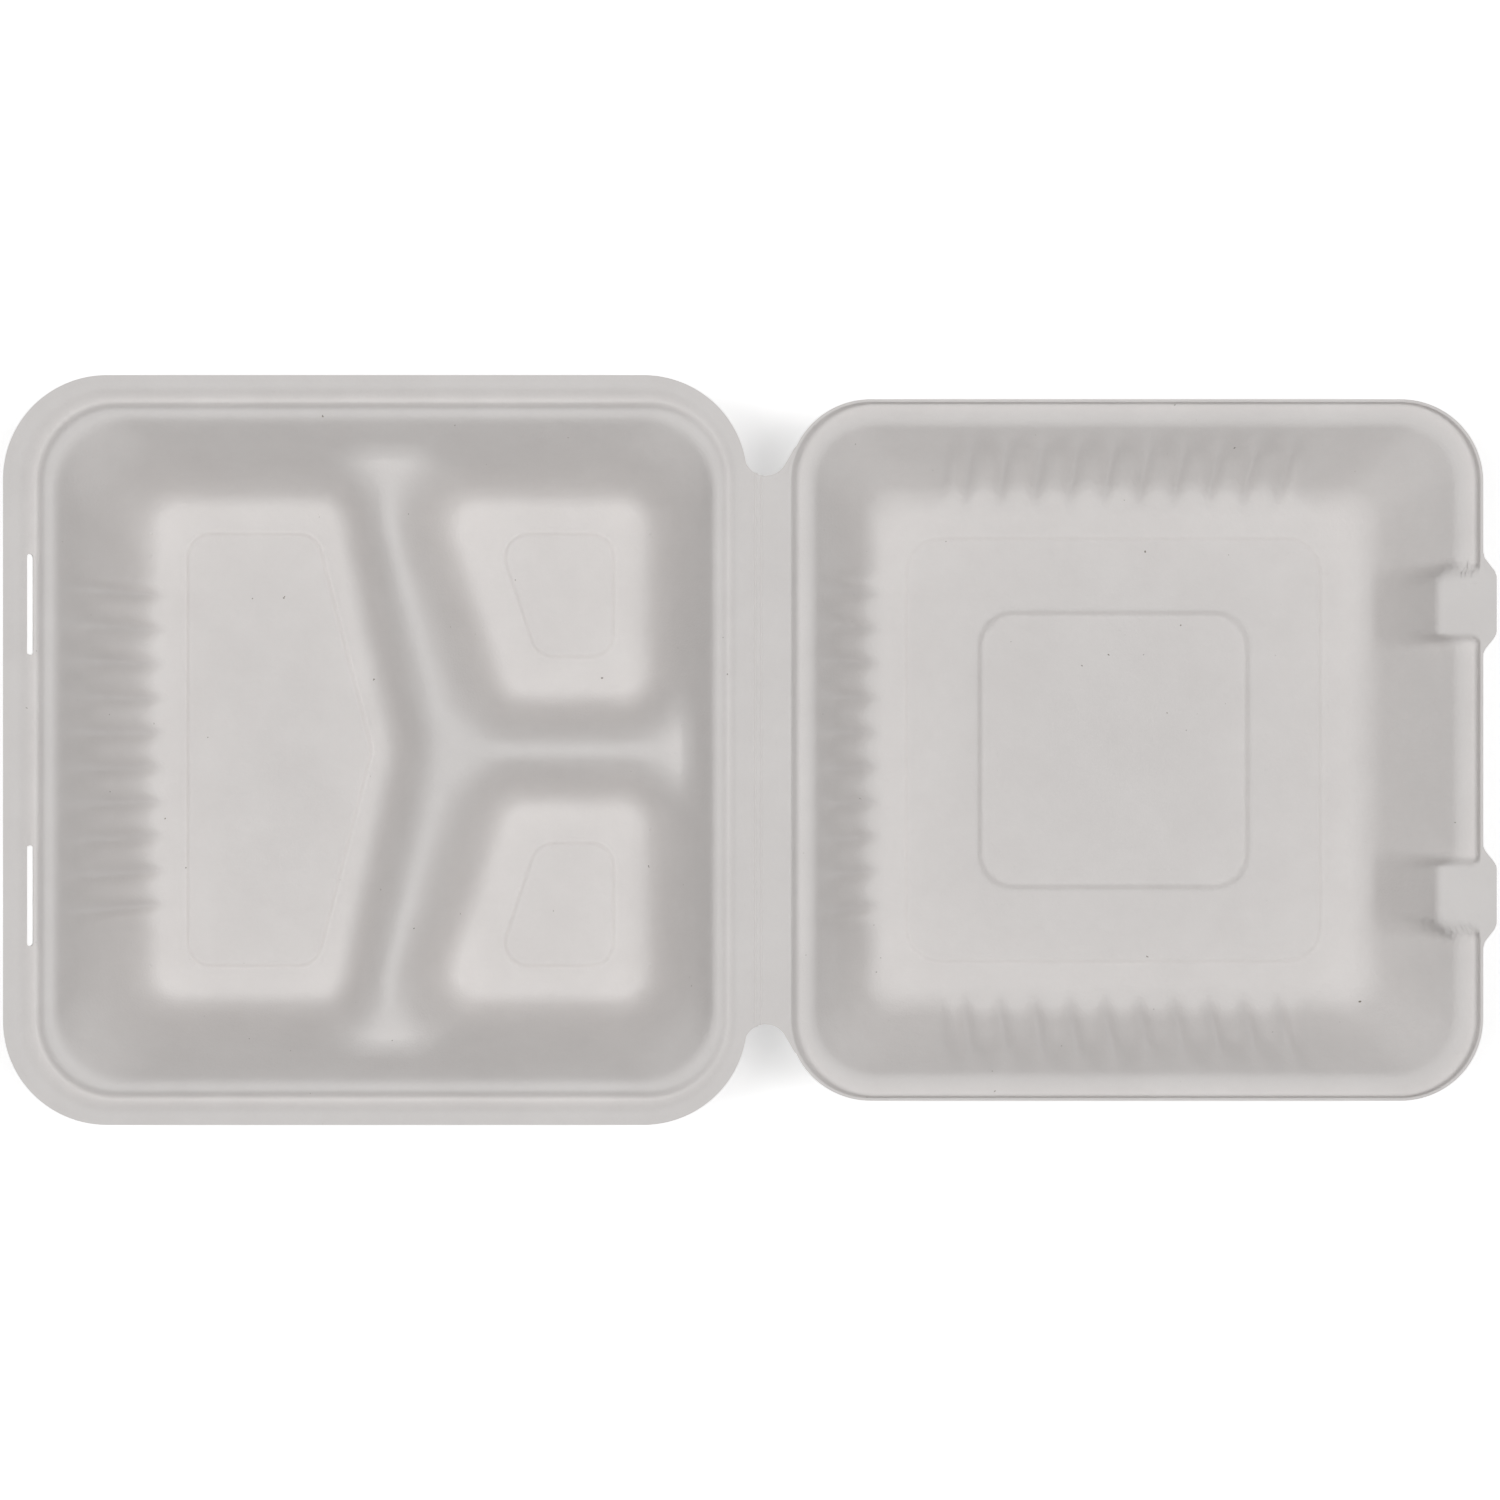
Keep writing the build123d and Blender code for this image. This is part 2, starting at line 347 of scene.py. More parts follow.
def polygon_distance(
    x: np.ndarray, y: np.ndarray, corners: list[tuple[float, float]], radius: float
) -> np.ndarray:
    """Distance outside a convex outline with rounded corners.

    Args:
        x: Places along X.
        y: Places along Y.
        corners: The outline's corners, anticlockwise, before rounding.
        radius: Their rounding.

    Returns:
        The distance, below 0 inside the outline.
    """
    points = [Vector(c) for c in corners]
    sides = []
    for start, end in zip(points, points[1:] + points[:1]):
        run = (end - start).normalized()
        out = Vector((run.y, -run.x))
        sides.append((out, out.dot(start) - radius))
    inner = []
    for (n0, c0), (n1, c1) in zip(sides[-1:] + sides[:-1], sides):
        det = n0.x * n1.y - n0.y * n1.x
        inner.append(Vector(((c0 * n1.y - c1 * n0.y) / det, (n0.x * c1 - n1.x * c0) / det)))
    inside = np.max([n.x * x + n.y * y - c for n, c in sides], axis=0)
    nearest = np.full(x.shape, np.inf)
    for start, end in zip(inner, inner[1:] + inner[:1]):
        run = end - start
        t = np.clip(((x - start.x) * run.x + (y - start.y) * run.y) / run.length_squared, 0.0, 1.0)
        nearest = np.minimum(nearest, np.hypot(x - start.x - t * run.x, y - start.y - t * run.y))
    return np.where(inside > 0, nearest, inside) - radius


@dataclass
class TrayForm:
    """The hollow of the tray as a height over each point, fold line at x = 0 and rim at height 0."""

    depth: float = 43.75
    wall_run: float = 20.4
    front: float = 193.5
    back: float = 34.1
    side: float = 80.6
    floor_corner: float = 9.5
    top_corner: float = 21.5
    floor_bend: float = 6.0
    rim_bend: float = 2.4
    side_bulge: float = 0.24
    divider_drop: float = 16.4
    crown: float = 13.0
    soften: float = 3.0
    soften_rim: float = 0.9
    soften_range: tuple[float, float] = (-3.0, -14.0)
    bulge_range: tuple[float, float] = (-16.0, 12.0)
    main_apex: float = 115.2
    main_lean: float = 12.2
    small_start: float = 75.0
    small_lean: float = 18.5
    arm_half: float = 15.7
    flute_depth: float = 3.9
    flute_foot: tuple[float, float] = (-8.0, -3.0)
    flute_top: tuple[float, float] = (0.98, 0.45)
    panel_margin: float = 11.8
    panel_step: float = 0.9
    panel_ease: tuple[float, float] = (0.6, -0.7)
    panel_corner: float = 7.5
    panel_inset: float = 2.2
    panel_line: float = 0.3
    panel_line_out: float = 0.8
    panel_line_width: float = 0.6
    soften_steps: int = 8
    crest_share: float = 0.55

    def outlines(self, inset: float = 0.0) -> list[list[tuple[float, float]]]:
        """The floor outlines of the three compartments.

        Args:
            inset: How far the sides along the divider are moved: drawn in for the small
                compartments, let out to twice that at the main one's point, whose two sides
                also lean by that many degrees more.

        Returns:
            Each compartment's corners, anticlockwise.
        """
        apex = self.main_apex - 2 * inset
        bend = math.tan(math.radians(self.main_lean + inset))
        slant = math.tan(math.radians(self.small_lean))
        arm = self.arm_half + inset
        start = self.small_start - inset
        point = apex + self.side * bend
        main = [
            (self.front, -self.side),
            (self.front, self.side),
            (point, self.side),
            (apex, 0.0),
            (point, -self.side),
        ]
        upper = [
            (self.back, arm),
            (start + arm * slant, arm),
            (start + self.side * slant, self.side),
            (self.back, self.side),
        ]
        lower = [(x, -y) for x, y in reversed(upper)]
        return [main, upper, lower]

    def wall_distance(self, x: np.ndarray, y: np.ndarray) -> np.ndarray:
        """Distance out from the floor's edge, with corners that stop widening near the rim.

        Args:
            x: Places along X.
            y: Places along Y.

        Returns:
            The distance, below 0 over the floor.
        """
        half = (self.front - self.back) / 2 - self.floor_corner
        qx = np.abs(x - (self.front + self.back) / 2) - half
        qy = np.abs(y) - (self.side - self.floor_corner)
        out = np.hypot(np.maximum(qx, 0), np.maximum(qy, 0)) + np.minimum(np.maximum(qx, qy), 0)
        total = qx + qy
        root = np.maximum(total * total - 2 * (qx * qx + qy * qy - self.top_corner**2), 0.0)
        step = (total - np.sqrt(root)) / 2
        straight = np.maximum(qx, qy) - self.top_corner
        step = np.where(np.minimum(qx, qy) > step, step, straight)
        return np.where(out > self.top_corner, self.top_corner + step, out) - self.floor_corner

    def slope(self, distance: np.ndarray, bulge: np.ndarray) -> np.ndarray:
        """Height of a wall, bent softly into the floor.

        Args:
            distance: Distance out from the floor's edge.
            bulge: How much steeper the wall is at its foot than at its top.

        Returns:
            The height.
        """
        floor = np.full(distance.shape, -self.depth)
        share = distance / self.wall_run
        within = np.clip(share, 0.0, 1.0)
        curve = bulge * within * (1.0 - within)
        return smooth_max(floor, (share + curve - 1.0) * self.depth, self.floor_bend)

    def moulded(self, x: np.ndarray, y: np.ndarray) -> np.ndarray:
        """Height of the walls, the floors and the divider, before they are softened.

        Args:
            x: Distance from the fold line.
            y: Distance from the middle line.

        Returns:
            The height, 0 at the rim.
        """
        middle = (self.front + self.back) / 2
        to_side = (np.abs(y) - self.side) - (np.abs(x - middle) - (self.front - middle))
        bulge = self.side_bulge * ramp(to_side, *self.bulge_range)
        pockets = np.full(x.shape, np.inf)
        for corners in self.outlines():
            distance = polygon_distance(x, y, corners, self.floor_corner)
            pockets = np.minimum(pockets, self.slope(distance, np.zeros(x.shape)))
        inner = smooth_min(pockets, np.full(x.shape, -self.divider_drop), self.crown)
        walls = np.maximum(inner, self.slope(self.wall_distance(x, y), bulge))
        return smooth_min(walls, np.zeros(x.shape), self.rim_bend)

    def panel_edges(self, x: np.ndarray, y: np.ndarray) -> list[np.ndarray]:
        """Distance out from the edge of each floor panel.

        Args:
            x: Distance from the fold line.
            y: Distance from the middle line.

        Returns:
            One distance for each compartment, below 0 on its panel.
        """
        rounding = self.panel_corner + self.panel_margin
        outlines = self.outlines(self.panel_inset)
        return [polygon_distance(x, y, corners, rounding) + self.panel_margin for corners in outlines]

    def panels(self, x: np.ndarray, y: np.ndarray) -> np.ndarray:
        """How far the floor panels stand up, with the fine line pressed round each.

        Args:
            x: Distance from the fold line.
            y: Distance from the middle line.

        Returns:
            The rise over the plain floor.
        """
        rise = np.zeros(x.shape)
        for out in self.panel_edges(x, y):
            line = np.exp(-(((out - self.panel_line_out) / self.panel_line_width) ** 2))
            rise += self.panel_step * ramp(out, *self.panel_ease) - self.panel_line * line
        return rise

    def height(self, x: np.ndarray, y: np.ndarray) -> np.ndarray:
        """Height of the pulp over each point inside the rim, softened as wet pulp is by the press.

        Args:
            x: Distance from the fold line.
            y: Distance from the middle line.

        Returns:
            The height, 0 at the rim.
        """
        total = self.moulded(x, y)
        reach = self.soften_rim + (self.soften - self.soften_rim) * ramp(total, *self.soften_range)
        for n in range(self.soften_steps):
            angle = 2 * math.pi * n / self.soften_steps
            total = total + self.moulded(x + reach * math.cos(angle), y + reach * math.sin(angle))
        return total / (self.soften_steps + 1) + self.panels(x, y)

    def flutes(self, x: np.ndarray, y: np.ndarray) -> np.ndarray:
        """How far the front wall is pressed outwards at each point.

        Args:
            x: Distance from the fold line.
            y: Distance from the middle line.

        Returns:
            The shift away from the fold.
        """
        out = x - self.front
        fade = ramp(out, *self.flute_foot) * ramp(out / self.wall_run, *self.flute_top)
        return self.flute_depth * fade * flute_press(y, self.crest_share)


def refine(bm: bmesh.types.BMesh, faces: list[bmesh.types.BMFace]) -> None:
    """Halves the cells of the given faces.

    Args:
        bm: The mesh.
        faces: Its faces to halve, both ways.
    """
    edges = list(dict.fromkeys(edge for face in faces for edge in face.edges))
    bmesh.ops.subdivide_edges(bm, edges=edges, cuts=1, use_grid_fill=True)
    bm.verts.index_update()


def cut_slot(bm: bmesh.types.BMesh, x: float, y: float, width: float, length: float) -> None:
    """Cuts a round-ended slot along Y through the sheet.

    Args:
        bm: The sheet, before it gets its thickness.
        x: The slot's middle along X.
        y: Its middle along Y.
        width: Its width.
        length: Its length, ends included.
    """
    half = width / 2
    reach = length / 2 - half

    def near(co: Vector, margin: float) -> bool:
        """Whether a point of the rim lies within margin of the slot's own rectangle.

        Args:
            co: The point.
            margin: How far outside the rectangle it may lie.

        Returns:
            True if it lies there.
        """
        return abs(co.x - x) < half + margin and abs(co.y - y) < length / 2 + margin and co.z > RIM_LOW

    across = [(Vector((x + step, y, 0)), Vector((1, 0, 0))) for step in (-half, 0.0, half)]
    stops = (-reach - half, -reach, reach, reach + half)
    along = [(Vector((x, y + step, 0)), Vector((0, 1, 0))) for step in stops]
    for point, normal in across + along:
        faces = [f for f in bm.faces if near(f.calc_center_median(), SLOT_MARGIN)]
        geom = list(dict.fromkeys(item for f in faces for item in (f, *f.edges, *f.verts)))
        bmesh.ops.bisect_plane(bm, geom=geom, dist=1e-4, plane_co=point, plane_no=normal)
    gone = [f for f in bm.faces if near(f.calc_center_median(), 0.0)]
    bmesh.ops.delete(bm, geom=gone, context="FACES")
    for vert in bm.verts:
        over = abs(vert.co.y - y) - reach
        if vert.is_boundary and over > TOUCH and near(vert.co, TOUCH):
            out = Vector((vert.co.x - x, over)).normalized() * half
            vert.co.x = x + out.x
            vert.co.y = y + math.copysign(reach + out.y, vert.co.y - y)


def grow_strip(bm: bmesh.types.BMesh, towards: float, limit: float) -> None:
    """Carries a half's edge on to the fold as a flat strip, notched at both ends.

    Args:
        bm: The half, fold line at x = 0.
        towards: 1 for the lid, -1 for the tray.
        limit: How far from the fold line the half's own edge may lie.
    """

    def at_fold(vert: bmesh.types.BMVert) -> bool:
        """Whether a corner lies on the stretch of the half's edge that faces the fold.

        Args:
            vert: The corner.

        Returns:
            True if it lies there.
        """
        return vert.is_boundary and vert.co.x < limit and abs(vert.co.y) < NOTCH_SPREAD + STRIP_MARGIN

    edges = [e for e in bm.edges if e.is_boundary and all(at_fold(v) for v in e.verts)]
    ends = [e for e in edges if abs(e.verts[0].co.y) > NOTCH_SPREAD - STRIP_END]
    bmesh.ops.subdivide_edges(bm, edges=ends, cuts=STRIP_END_CUTS)
    bm.verts.index_update()
    edges = [e for e in bm.edges if e.is_boundary and all(at_fold(v) for v in e.verts)]
    starts = {v.index: v.co.copy() for e in edges for v in e.verts}
    for share, rise in STRIP_STEPS:
        grown = bmesh.ops.extrude_edge_only(bm, edges=edges)["geom"]
        verts = [g for g in grown if isinstance(g, bmesh.types.BMVert)]
        edges = [g for g in grown if isinstance(g, bmesh.types.BMEdge) and g.is_boundary]
        edges = [e for e in edges if all(v in verts for v in e.verts)]
        for vert in verts:
            start = min(starts.values(), key=lambda co: abs(co.y - vert.co.y))
            end = float(notch_edge(np.array(start.y), towards))
            end = min(end, start.x)
            level = rise * float(ramp(np.array(start.x - end), STRIP_LEAST, STRIP_MARGIN))
            z = start.z - (start.z + STRIP_DROP) * level
            vert.co = Vector((start.x + (end - start.x) * share, start.y, z))
    bmesh.ops.remove_doubles(bm, verts=bm.verts, dist=TOUCH)


def finish_piece(name: str, bm: bmesh.types.BMesh, material: bpy.types.Material) -> bpy.types.Object:
    """Turns a sheet into an object and gives it the thickness of the pulp.

    Args:
        name: The piece's name.
        bm: The sheet's upper face, in metres in the row frame; it is used up.
        material: Its finish.

    Returns:
        The finished object.
    """
    bmesh.ops.triangulate(bm, faces=[f for f in bm.faces if len(f.verts) > 4])
    for face in bm.faces:
        face.smooth = True
    for edge in bm.edges:
        edge.smooth = not edge.is_boundary
    mesh = bpy.data.meshes.new(name)
    bm.to_mesh(mesh)
    bm.free()
    mesh.materials.append(material)
    piece = bpy.data.objects.new(name, mesh)
    bpy.context.collection.objects.link(piece)
    wall = piece.modifiers.new("thickness", "SOLIDIFY")
    wall.thickness = SHEET * MM
    wall.offset = -1.0
    wall.use_quality_normals = True
    return piece


@dataclass(frozen=True)
class PulpFinish:
    """The finish of pressed, unbleached cane pulp."""

    name: str = "pressed_pulp"
    pale: tuple[float, float, float, float] = (0.770, 0.745, 0.732, 1.0)
    dark: tuple[float, float, float, float] = (0.735, 0.709, 0.696, 1.0)
    fleck: tuple[float, float, float, float] = (0.23, 0.20, 0.17, 1.0)
    roughness: float = 0.88
    specular: float = 0.25
    clouds: tuple[float, float, float] = (55.0, 5.0, 0.6)
    cloud_range: tuple[float, float] = (0.3, 0.7)
    grain: tuple[float, float, float] = (900.0, 4.0, 0.65)
    flecks: tuple[float, float, float] = (420.0, 2.0, 0.5)
    fleck_range: tuple[float, float] = (0.775, 0.81)
    grain_strength: float = 0.35
    grain_depth: float = 0.0004

    def mottle_group(self) -> bpy.types.NodeTree:
        """Builds the shared pulp pattern.

        Returns:
            A node group with a colour and a height.
        """
        tree = bpy.data.node_groups.new("pulp_pattern", "ShaderNodeTree")
        face = tree.interface
        face.new_socket("Pale", in_out="INPUT", socket_type="NodeSocketColor")
        face.new_socket("Dark", in_out="INPUT", socket_type="NodeSocketColor")
        face.new_socket("Fleck", in_out="INPUT", socket_type="NodeSocketColor")
        face.new_socket("Color", in_out="OUTPUT", socket_type="NodeSocketColor")
        face.new_socket("Height", in_out="OUTPUT", socket_type="NodeSocketFloat")
        nodes, links = tree.nodes, tree.links
        inp = nodes.new("NodeGroupInput")
        out = nodes.new("NodeGroupOutput")
        coords = nodes.new("ShaderNodeTexCoord")

        def noise(scale: float, detail: float, roughness: float) -> bpy.types.Node:
            """A noise texture on the piece's own coordinates.

            Args:
                scale: Its scale.
                detail: Its number of octaves.
                roughness: The weight of the finer ones.

            Returns:
                The texture node.
            """
            node = nodes.new("ShaderNodeTexNoise")
            node.inputs["Scale"].default_value = scale
            node.inputs["Detail"].default_value = detail
            node.inputs["Roughness"].default_value = roughness
            links.new(coords.outputs["Object"], node.inputs["Vector"])
            return node

        def ramp_of(source: bpy.types.NodeSocket, low: float, high: float) -> bpy.types.Node:
            """A clamped linear step between two values of a pattern.

            Args:
                source: The pattern.
                low: Its value where the step begins.
                high: Its value where the step is complete.

            Returns:
                The node that makes the step.
            """
            node = nodes.new("ShaderNodeMapRange")
            node.inputs["From Min"].default_value = low
            node.inputs["From Max"].default_value = high
            links.new(source, node.inputs["Value"])
            return node

        def mixed(
            step: bpy.types.Node, low: bpy.types.NodeSocket, high: bpy.types.NodeSocket
        ) -> bpy.types.Node:
            """A mix of two colours along a step.

            Args:
                step: The node that makes the step.
                low: The colour where the step is 0.
                high: The colour where it is 1.

            Returns:
                The node that mixes them.
            """
            node = nodes.new("ShaderNodeMix")
            node.data_type = "RGBA"
            links.new(step.outputs["Result"], node.inputs["Factor"])
            links.new(low, node.inputs["A"])
            links.new(high, node.inputs["B"])
            return node

        clouds = noise(*self.clouds)
        grain = noise(*self.grain)
        flecks = noise(*self.flecks)
        tone = ramp_of(clouds.outputs["Fac"], *self.cloud_range)
        mottled = mixed(tone, inp.outputs["Dark"], inp.outputs["Pale"])
        spot = ramp_of(flecks.outputs["Fac"], *self.fleck_range)
        spotted = mixed(spot, mottled.outputs["Result"], inp.outputs["Fleck"])
        links.new(spotted.outputs["Result"], out.inputs["Color"])
        links.new(grain.outputs["Fac"], out.inputs["Height"])
        return tree

    def make(self) -> bpy.types.Material:
        """Builds the material.

        Returns:
            The material that all pieces of the box share.
        """
        material = bpy.data.materials.new(self.name)
        material.use_nodes = True
        nodes, links = material.node_tree.nodes, material.node_tree.links
        shader = nodes["Principled BSDF"]
        shader.inputs["Roughness"].default_value = self.roughness
        shader.inputs["Specular IOR Level"].default_value = self.specular
        pattern = nodes.new("ShaderNodeGroup")
        pattern.node_tree = self.mottle_group()
        pattern.inputs["Pale"].default_value = self.pale
        pattern.inputs["Dark"].default_value = self.dark
        pattern.inputs["Fleck"].default_value = self.fleck
        bump = nodes.new("ShaderNodeBump")
        bump.inputs["Strength"].default_value = self.grain_strength
        bump.inputs["Distance"].default_value = self.grain_depth
        links.new(pattern.outputs["Color"], shader.inputs["Base Color"])
        links.new(pattern.outputs["Height"], bump.inputs["Height"])
        links.new(bump.outputs["Normal"], shader.inputs["Normal"])
        return material


@dataclass
class Tray:
    """The tray: rim with groove and bead, fluted front wall, Y divider, floor panels and slots."""

    reach: float = 229.6
    half_width: float = 114.0
    edge: float = 3.3
    slot_inset: float = 7.75
    slot_length: float = 30.7
    slot_width: float = 1.6
    rim_inside: float = 13.9
    fold_share: float = 0.4
    fold_rise: tuple[float, float] = (8.0, 45.0)
    close_enough: float = 0.1
    flute_cell: float = 1.7
    flute_least: float = 0.15
    flute_margin: float = 3.0
    panel_bands: tuple[float, float] = (2.6, 1.6)
    form: TrayForm = field(default_factory=TrayForm)

    def section(self) -> list[Station]:
        """The rim's cross-section and the rings that fill the hollow.

        Returns:
            Its corners, from the edge to the middle.
        """
        middle = (self.reach - self.edge) / 2
        return [
            Station(0.0, 0.0, 0.0, 31.5, 0.0, 1),
            Station(4.4, 3.7, 3.2, 28.4, 0.0, 2, 1.4, 4),
            Station(8.6, 7.0, 5.3, 25.3, -2.7, 3, 1.6, 4),
            Station(9.8, 8.0, 6.1, 24.2, -2.75, 2, 1.2, 4),
            Station(12.4, 10.2, 7.9, 22.2, -0.1, 2, 1.2, 4),
            Station(14.0, 11.5, 9.2, 21.5, 0.0, 3),
            Station(17.4, 14.9, 12.6, 20.0, 0.0, 4),
            Station(40.0, 37.0, 34.5, 9.5, 0.0, 16),
            Station(middle, self.half_width, middle, 0.0, 0.0, 34),
        ]

    def build(self, material: bpy.types.Material, fold: Vector) -> bpy.types.Object:
        """Models the tray.

        Args:
            material: The pulp finish.
            fold: The middle of the fold line, in the row frame.

        Returns:
            The finished tray.
        """
        sheet = RingSheet(self.edge, self.reach, self.half_width, section_rings(self.section()))
        bm = sheet.build()
        points, ring, _ = sheet.lay(bm)
        points[:, 2] *= self.fold_share + (1 - self.fold_share) * ramp(points[:, 0], *self.fold_rise)
        place(bm, points)
        rim_rings = int(np.argmax(sheet.rings[:, 0] > self.rim_inside))
        inner = bm.verts.layers.float.new("inner")
        for vert, number in zip(bm.verts, ring):
            vert[inner] = float(number >= rim_rings)
        for band in self.panel_bands:
            self.settle(bm)
            refine(bm, self.coarse(bm, band))
        self.settle(bm)
        self.press_flutes(bm)
        for y in (-TAB_OFFSET, TAB_OFFSET):
            cut_slot(bm, self.reach - self.slot_inset, y, self.slot_width, self.slot_length)
        grow_strip(bm, -1.0, self.edge + STRIP_MARGIN)
        for vert in bm.verts:
            x, y, z = vert.co
            vert.co = fold + Vector((-x, -y, z)) * MM
        piece = finish_piece("tray_shell", bm, material)
        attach(piece, Body.TRAY.value)
        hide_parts(Node.TRAY.value)
        return piece

    def settle(self, bm: bmesh.types.BMesh) -> None:
        """Drops every vertex inside the rim on to the tray's form.

        Args:
            bm: The tray.
        """
        inner = bm.verts.layers.float["inner"]
        verts = [v for v in bm.verts if v[inner] > 0.5]
        places = np.array([v.co for v in verts])
        for vert, z in zip(verts, self.form.height(places[:, 0], places[:, 1])):
            vert.co.z = z

    def coarse(self, bm: bmesh.types.BMesh, band: float) -> list[bmesh.types.BMFace]:
        """The faces that stray from the form, lie on a panel's edge or are too wide for a flute.

        Args:
            bm: The settled tray.
            band: How far to either side of a panel's edge its faces are halved.

        Returns:
            The faces to halve.
        """
        inner = bm.verts.layers.float["inner"]
        faces = [f for f in bm.faces if all(v[inner] > 0.5 for v in f.verts)]
        centres = np.array([np.mean([v.co for v in f.verts], axis=0) for f in faces])
        off = np.abs(self.form.height(centres[:, 0], centres[:, 1]) - centres[:, 2])
        fluted = self.form.flutes(centres[:, 0], centres[:, 1] * 0.0 + FLUTE_PITCH) > self.flute_least
        fluted &= np.abs(centres[:, 1]) < FLUTE_REACH + self.flute_margin
        widths = [max(abs(a.co.y - b.co.y) for a in f.verts for b in f.verts) for f in faces]
        wide = np.array(widths) > self.flute_cell
        lined = np.min(np.abs(self.form.panel_edges(centres[:, 0], centres[:, 1])), axis=0) < band
        chosen = (off > self.close_enough) | lined | (fluted & wide)
        return [f for f, halve in zip(faces, chosen) if halve]

    def press_flutes(self, bm: bmesh.types.BMesh) -> None:
        """Presses the flutes into the front wall.

        Args:
            bm: The settled tray.
        """
        places = np.array([v.co for v in bm.verts])
        shift = self.form.flutes(places[:, 0], places[:, 1])
        for vert, out in zip(bm.verts, shift):
            vert.co.x += out


